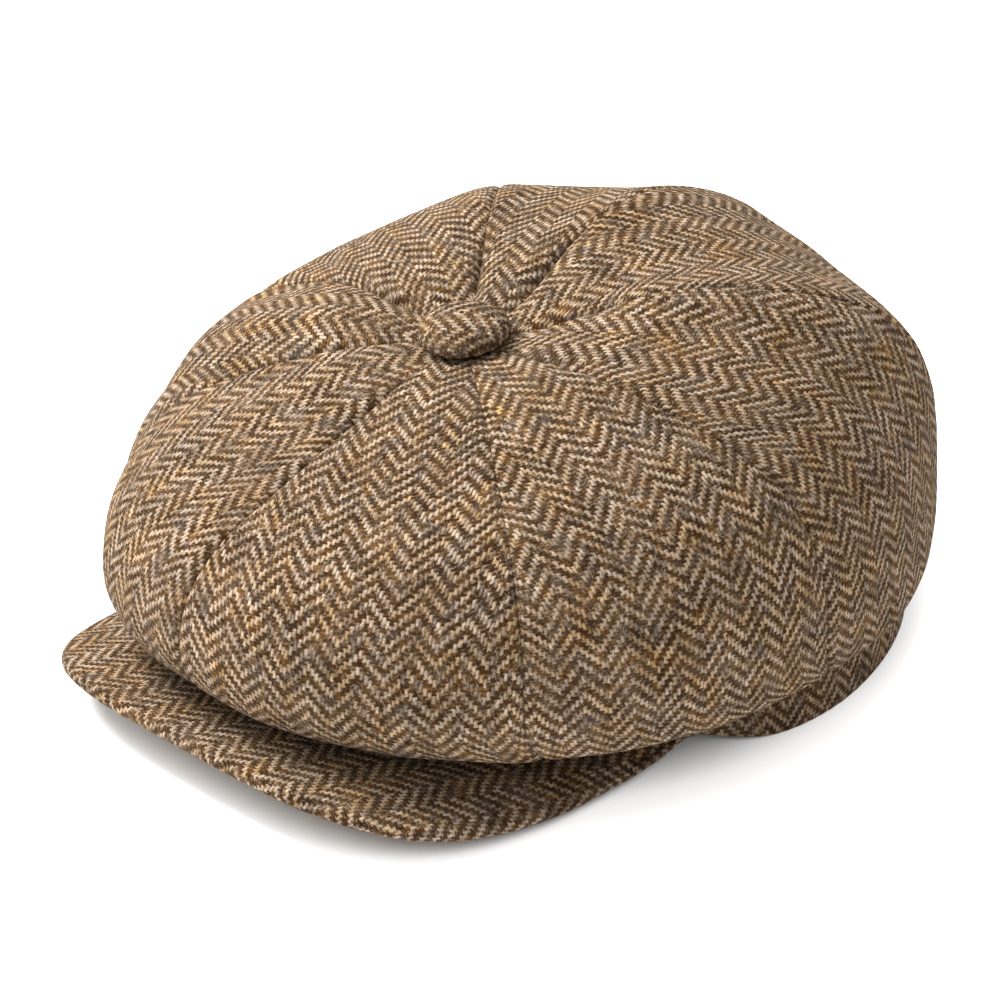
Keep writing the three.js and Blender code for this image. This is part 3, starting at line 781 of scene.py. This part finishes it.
def make_lining(gore):
    """One gore of the lining, loose in the crown and caught at its seams and hem."""
    share = np.linspace(0.01, 1, LINING_ROWS + 1)[:, None]
    angle = SEAM_STEP * (gore + 0.5 + gore_steps(LINING_COLUMNS, LINING_EVENNESS) / 2)
    base = lining_surface(share, angle)
    soften(base, LINING_SOFTENING)
    normal = base_normals(base)[:, 1:-1]
    base = base[:, 1:-1]
    across, half, along = cloth_lengths(base, LINING_COLUMNS // 2)
    from_seam = half - np.abs(across)
    free = 1 - smoothstep(0.80, 0.92, np.broadcast_to(share, across.shape))
    puff = LINING_PUFF * noise_at(base, LINING_PUFF_SCALE, 3.0)
    relief = (puff - LINING_TUCK * np.exp(-from_seam / LINING_TUCK_WIDTH)) * free
    base = np.where(base[..., 2:] < SAG_HEIGHT, sag(base), base)
    outer = base + normal * relief[..., None]
    weave = np.stack(np.broadcast_arrays(across, along, 5.0 * gore), axis=-1)
    piece = plate(f"lining_gore_{gore + 1}", outer, outer - normal * LINING, weave)
    return finish_piece(piece, satin, [f"lining_panel_{gore + 1}"])


for gore in range(PANELS):
    make_lining(gore)

# ---- peak ----

PEAK_COLUMNS, PEAK_ROWS, PEAK_TURN_ROWS = 150, 30, 12


def peak_cloth(share):
    """Thickness along the peak: full, thinning to its two ends."""
    return END_TAPER + (1 - END_TAPER) * np.minimum(1, (1 - np.abs(share)) / (1 - BOARD_SPAN))


def peak_rib(share):
    """Root, last middle point and way out of the edge, for places along the seam."""
    angle = np.radians(share * ROOT_ANGLE)
    distance = oval(OPENING_LENGTH + ROOT_GAP, OPENING_WIDTH + ROOT_GAP, angle)
    root_x = distance * np.sin(angle)
    arch = 1 - np.minimum(1, np.abs(root_x) / PEAK_WIDTH) ** PEAK_ROUNDNESS
    low = PEAK_WING - WING_DROP
    root_z = low + (PEAK_TIP - ROOT_DROP - low) * arch
    root = np.stack([root_x, -distance * np.cos(angle), root_z], axis=-1)
    turn = np.radians(share * OUTLINE_ANGLE)
    power = 2 / PEAK_ROUNDNESS
    edge = np.stack([
        PEAK_WIDTH * signed_power(np.sin(turn), power),
        PEAK_CENTRE - PEAK_LENGTH * signed_power(np.cos(turn), power),
        PEAK_TIP + (PEAK_WING - PEAK_TIP) * np.sin(turn) ** 2,
    ], axis=-1)
    out = np.stack([
        signed_power(edge[..., 0] / PEAK_WIDTH, PEAK_ROUNDNESS - 1) / PEAK_WIDTH,
        signed_power((edge[..., 1] - PEAK_CENTRE) / PEAK_LENGTH, PEAK_ROUNDNESS - 1) / PEAK_LENGTH,
        np.zeros_like(turn),
    ], axis=-1)
    out = out / np.linalg.norm(out, axis=-1, keepdims=True)
    end = edge - out * (PEAK_OUTER * peak_cloth(share))[..., None]
    return root, end, out


def raise_ends(grid):
    """Lift the ends of the peak, the right one more, and draw the left one in."""
    ends = smoothstep(-64, -44, grid[..., 1]) * smoothstep(58, 80, np.abs(grid[..., 0]))
    left = grid[..., 0] < 0
    rise = END_RISE * ends * np.where(left, LEFT_RISE, 1.0)
    return grid + np.stack([LEFT_INWARD * ends * left, 0 * ends, rise], axis=-1)


def peak_layer(level, share, along, reach=0.0):
    """A layer level mm above the middle of the peak, stopping reach mm short."""
    root, end, out = peak_rib(share)
    stop = end - out * reach
    rows = along[:, None, None]
    grid = root[None] * (1 - rows) + stop[None] * rows
    grid[..., 2] += level * peak_cloth(share)[None]
    return raise_ends(grid)


def peak_turn(level, share, along):
    """The top cover's turn round the edge, from above (0) to below (1)."""
    root, end, out = peak_rib(share)
    turn = (along * math.pi)[:, None, None]
    radius = (level * peak_cloth(share))[None, :, None]
    grid = end[None] + out[None] * radius * np.sin(turn)
    grid[..., 2] += (radius * np.cos(turn))[..., 0]
    return raise_ends(grid)


def peak_weave(share, along, turns, level, seed):
    """Cloth coordinates of the peak's sheet laid out flat, its turned edge too."""
    root, end, out = peak_rib(share)
    rows = along[:, None, None]
    rolled = (level * peak_cloth(share))[None, :, None] * (turns * math.pi)[:, None, None]
    flat = np.concatenate([root[None] * (1 - rows) + end[None] * rows, end[None] + out[None] * rolled])
    x, y = flat[..., 0], flat[..., 1]
    c, s = math.cos(PEAK_GRAIN), math.sin(PEAK_GRAIN)
    return np.stack([x * c + y * s, x * s - y * c, np.full_like(x, seed)], axis=-1)


def blend_peak(piece):
    """Bake a peak piece's placement into its mesh."""
    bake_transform(piece)


def make_peak():
    share = np.linspace(1, -1, PEAK_COLUMNS + 1)
    share = signed_power(share, 0.75)
    rows = np.linspace(0, 1, PEAK_ROWS + 1)
    turns = np.linspace(0, 1, PEAK_TURN_ROWS + 1)[1:]

    def cover(level):
        return np.concatenate([peak_layer(level, share, rows), peak_turn(level, share, turns)])

    outer, inner = cover(PEAK_OUTER), cover(PEAK_INNER)
    swell = noise_at(outer, 0.05, 21.0)[..., None] * 0.25
    outer = outer + np.array([0, 0, 1.0]) * swell
    weave = peak_weave(share, rows, turns, PEAK_OUTER, PEAK_TOP_SEED)
    top = plate("peak_top_cloth", inner, outer, weave)
    finish_piece(top, tweed, ["peak_top_cover"], body=None)

    under_outer = peak_layer(-PEAK_OUTER, share, rows, 0.25)
    under_inner = peak_layer(-PEAK_INNER, share, rows, 0.25)
    weave = peak_weave(share, rows, turns[:0], PEAK_OUTER, PEAK_UNDER_SEED)
    under = plate("peak_under_cloth", under_outer, under_inner, weave)
    finish_piece(under, tweed, ["peak_under_cover"], body=None)

    span = np.linspace(BOARD_SPAN, -BOARD_SPAN, PEAK_COLUMNS // 2 + 1)
    lower = peak_layer(-BOARD_HALF, span, rows[::3], 0.3)
    upper = peak_layer(BOARD_HALF, span, rows[::3], 0.3)
    weave = peak_weave(span, rows[::3], turns[:0], BOARD_HALF, BOARD_SEED)
    stiff = plate("peak_stiffener", lower, upper, weave)
    finish_piece(stiff, board, ["peak_board"], body=None)
    for piece in (top, under, stiff):
        blend_peak(piece)


make_peak()

# ---- button ----

BUTTON_SIDES = 96


def button_place(points):
    """From the button's own axes, in mm, to the crown's dimple."""
    c, s = math.cos(BUTTON_TILT), math.sin(BUTTON_TILT)
    turn = np.array([[1, 0, 0], [0, c, -s], [0, s, c]])
    return points @ turn.T + np.array([0, CROWN_CENTRE + APEX_SHIFT, APEX_HEIGHT + BUTTON_SEAT])


def make_button():
    lean = np.linspace(0.02, 1, 30) * math.pi / 2
    radius = BUTTON_RADIUS * np.sin(lean) ** 0.85
    height = BUTTON_MOUTH + (BUTTON_HEIGHT - BUTTON_MOUTH) * np.cos(lean) ** 0.85
    tuck = np.linspace(0, 1, 9)[1:]
    radius = np.concatenate([radius, BUTTON_RADIUS - 3.0 * tuck ** 1.6])
    height = np.concatenate([height, BUTTON_MOUTH * (1 - np.sin(tuck * math.pi / 2))])
    angle = np.arange(BUTTON_SIDES) / BUTTON_SIDES * 2 * math.pi
    gather = 0.22 * np.sin(angle * 18) + 0.12 * np.sin(angle * 31 + 1)
    run = np.linspace(0, 1, len(radius))[:, None]
    reach = radius[:, None] * (1 + 0.018 * np.sin(3 * angle + 0.7)[None])
    fold = gather[None] * smoothstep(0.62, 1.0, run)
    grid = polar(reach + fold, angle[None], height[:, None] + 0 * angle[None])
    inner = polar((reach + fold) * (1 - BUTTON_CLOTH / np.maximum(radius[:, None], 3)), angle[None],
                  np.maximum(height[:, None] - BUTTON_CLOTH * np.cos(run * math.pi / 2), 0.25))
    length = arc_lengths(grid)
    flat_x = length * np.sin(angle - BUTTON_GRAIN)[None]
    flat_y = length * np.cos(angle - BUTTON_GRAIN)[None]
    weave = np.stack([flat_x, flat_y, np.full_like(flat_x, BUTTON_SEED)], axis=-1)
    piece = plate("button_cloth", button_place(grid), button_place(inner), weave, wrap=True)
    return finish_piece(piece, tweed, ["button_cover"])


make_button()
for node, material in (("button_shell", tin), ("button_back_plate", tin), ("button_wire_loop", tin),
                       ("button_thread", thread)):
    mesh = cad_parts[node].data
    mesh.materials.clear()
    mesh.materials.append(material)

# ---- stitching ----


STITCH_SIDES = 6
STITCH_SHAPE = [(-0.5, 0.35), (-0.3, 1.0), (0.0, 1.2), (0.3, 1.0), (0.5, 0.35)]     # place, thickness


def stitch_row(name, inset, height, pitch, length, radius):
    """A row of short stitches round the inside of the sweatband."""
    fine = np.linspace(0, 2 * math.pi, 2001)
    path = polar(oval(OPENING_LENGTH - inset, OPENING_WIDTH - inset, fine), fine, 0.0)
    run = arc_lengths(path)
    count = int(run[-1] / pitch)
    sides = STITCH_SIDES
    vertices, faces, weave = [], [], []
    for index in range(count):
        middle = (index + 0.5) * run[-1] / count
        for place_along, thick in STITCH_SHAPE:
            angle = np.interp(middle + place_along * length, run, fine)
            distance = oval(OPENING_LENGTH - inset, OPENING_WIDTH - inset, angle)
            outward = np.array([math.sin(angle), -math.cos(angle), 0])
            centre = outward * (distance + 0.35 * abs(place_along))
            centre[2] = height + float(band_lift(angle))
            for side in range(sides):
                turn = side / sides * 2 * math.pi
                offset = outward * math.cos(turn) + np.array([0, 0, 1]) * math.sin(turn)
                vertices.append(centre + offset * radius * thick)
                weave.append((middle, side, index))
        last = len(STITCH_SHAPE) - 1
        base = len(vertices) - (last + 1) * sides
        for ring_index in range(last):
            for side in range(sides):
                a = base + ring_index * sides + side
                b = base + ring_index * sides + (side + 1) % sides
                faces.append((a, a + sides, b + sides, b))
        faces.append(tuple(base + side for side in range(sides)))
        faces.append(tuple(base + last * sides + side for side in reversed(range(sides))))
    piece = link_mesh(name, place(np.array(vertices)), faces, np.array(weave), sharp=180)
    return finish_piece(piece, thread, [])


stitch_row("sweatband_stitches", SWEATBAND_INSET + SWEATBAND, 3.2, 3.6, 2.7, 0.28)

# ---- stage, light and camera ----


def make_floor():
    mesh = bpy.data.meshes.new("floor")
    size = 4.0
    mesh.from_pydata([(-size, -size, 0), (size, -size, 0), (size, size, 0), (-size, size, 0)], [],
                     [(0, 1, 2, 3)])
    floor = bpy.data.objects.new("floor", mesh)
    bpy.context.scene.collection.objects.link(floor)
    s = Shader("floor")
    s.set(Base_Color=(0.9, 0.9, 0.9, 1), Roughness=0.9, Specular_IOR_Level=0.0)
    mesh.materials.append(s.material)
    return floor


def area_light(name, location, target, size, power, lights=None):
    """A soft disc light; with lights given, it falls on those objects only."""
    data = bpy.data.lights.new(name, "AREA")
    data.shape = "DISK"
    data.size = size
    data.energy = power
    light = bpy.data.objects.new(name, data)
    light.location = location
    light.rotation_euler = (Vector(target) - Vector(location)).to_track_quat("-Z", "Y").to_euler()
    bpy.context.scene.collection.objects.link(light)
    if lights:
        lit = bpy.data.collections.new(name + "_lights")
        for thing in lights:
            lit.objects.link(thing)
        light.light_linking.receiver_collection = lit


def around(azimuth, elevation, distance, target):
    a, e = math.radians(azimuth), math.radians(elevation)
    back = Vector((math.sin(a) * math.cos(e), -math.cos(a) * math.cos(e), math.sin(e)))
    return Vector(target) + back * distance


CAMERA_AZIMUTH, CAMERA_ELEVATION, CAMERA_DISTANCE = 45.0, 27.17, 1.1496
FOCAL_LENGTH = 143.74
FRAME_SHIFT = (-0.0204, -0.0208)

floor = make_floor()
aim = Vector((0, OPENING_Y + CROWN_CENTRE * MM, 0.05))
area_light("key", around(-68, 54, 1.6, aim), aim, size=0.8, power=48)
area_light("table", around(55, 42, 3.0, aim), aim, size=2.0, power=90, lights=[floor])

# A studio that is bright above and to the back left, and dim to the front right.
BRIGHT_SIDE = around(-78, 60, 1.0, (0, 0, 0))
SKY_DIM, SKY_BRIGHT = 0.15, 2.2
world = bpy.data.worlds.new("studio")
world.use_nodes = True
sky = world.node_tree
where = sky.nodes.new("ShaderNodeTexCoord")
facing = sky.nodes.new("ShaderNodeVectorMath")
facing.operation = "DOT_PRODUCT"
facing.inputs[1].default_value = BRIGHT_SIDE
strength = sky.nodes.new("ShaderNodeMapRange")
for socket, number in zip(RANGE_SOCKETS, (-0.1, 1.0, SKY_DIM, SKY_BRIGHT)):
    strength.inputs[socket].default_value = number
sky.links.new(where.outputs["Generated"], facing.inputs[0])
sky.links.new(facing.outputs["Value"], strength.inputs["Value"])
sky.links.new(strength.outputs[0], sky.nodes["Background"].inputs["Strength"])
sky.nodes["Background"].inputs["Color"].default_value = (1, 1, 1, 1)
bpy.context.scene.world = world
bpy.context.scene.view_settings.view_transform = "Standard"

camera_data = bpy.data.cameras.new("camera")
camera_data.sensor_width = 36
camera_data.lens = FOCAL_LENGTH
camera_data.shift_x, camera_data.shift_y = FRAME_SHIFT
camera_data.clip_end = 20
camera = bpy.data.objects.new("camera", camera_data)
camera.location = around(CAMERA_AZIMUTH, CAMERA_ELEVATION, CAMERA_DISTANCE, aim)
camera.rotation_euler = (aim - camera.location).to_track_quat("-Z", "Y").to_euler()
bpy.context.scene.collection.objects.link(camera)
bpy.context.scene.camera = camera
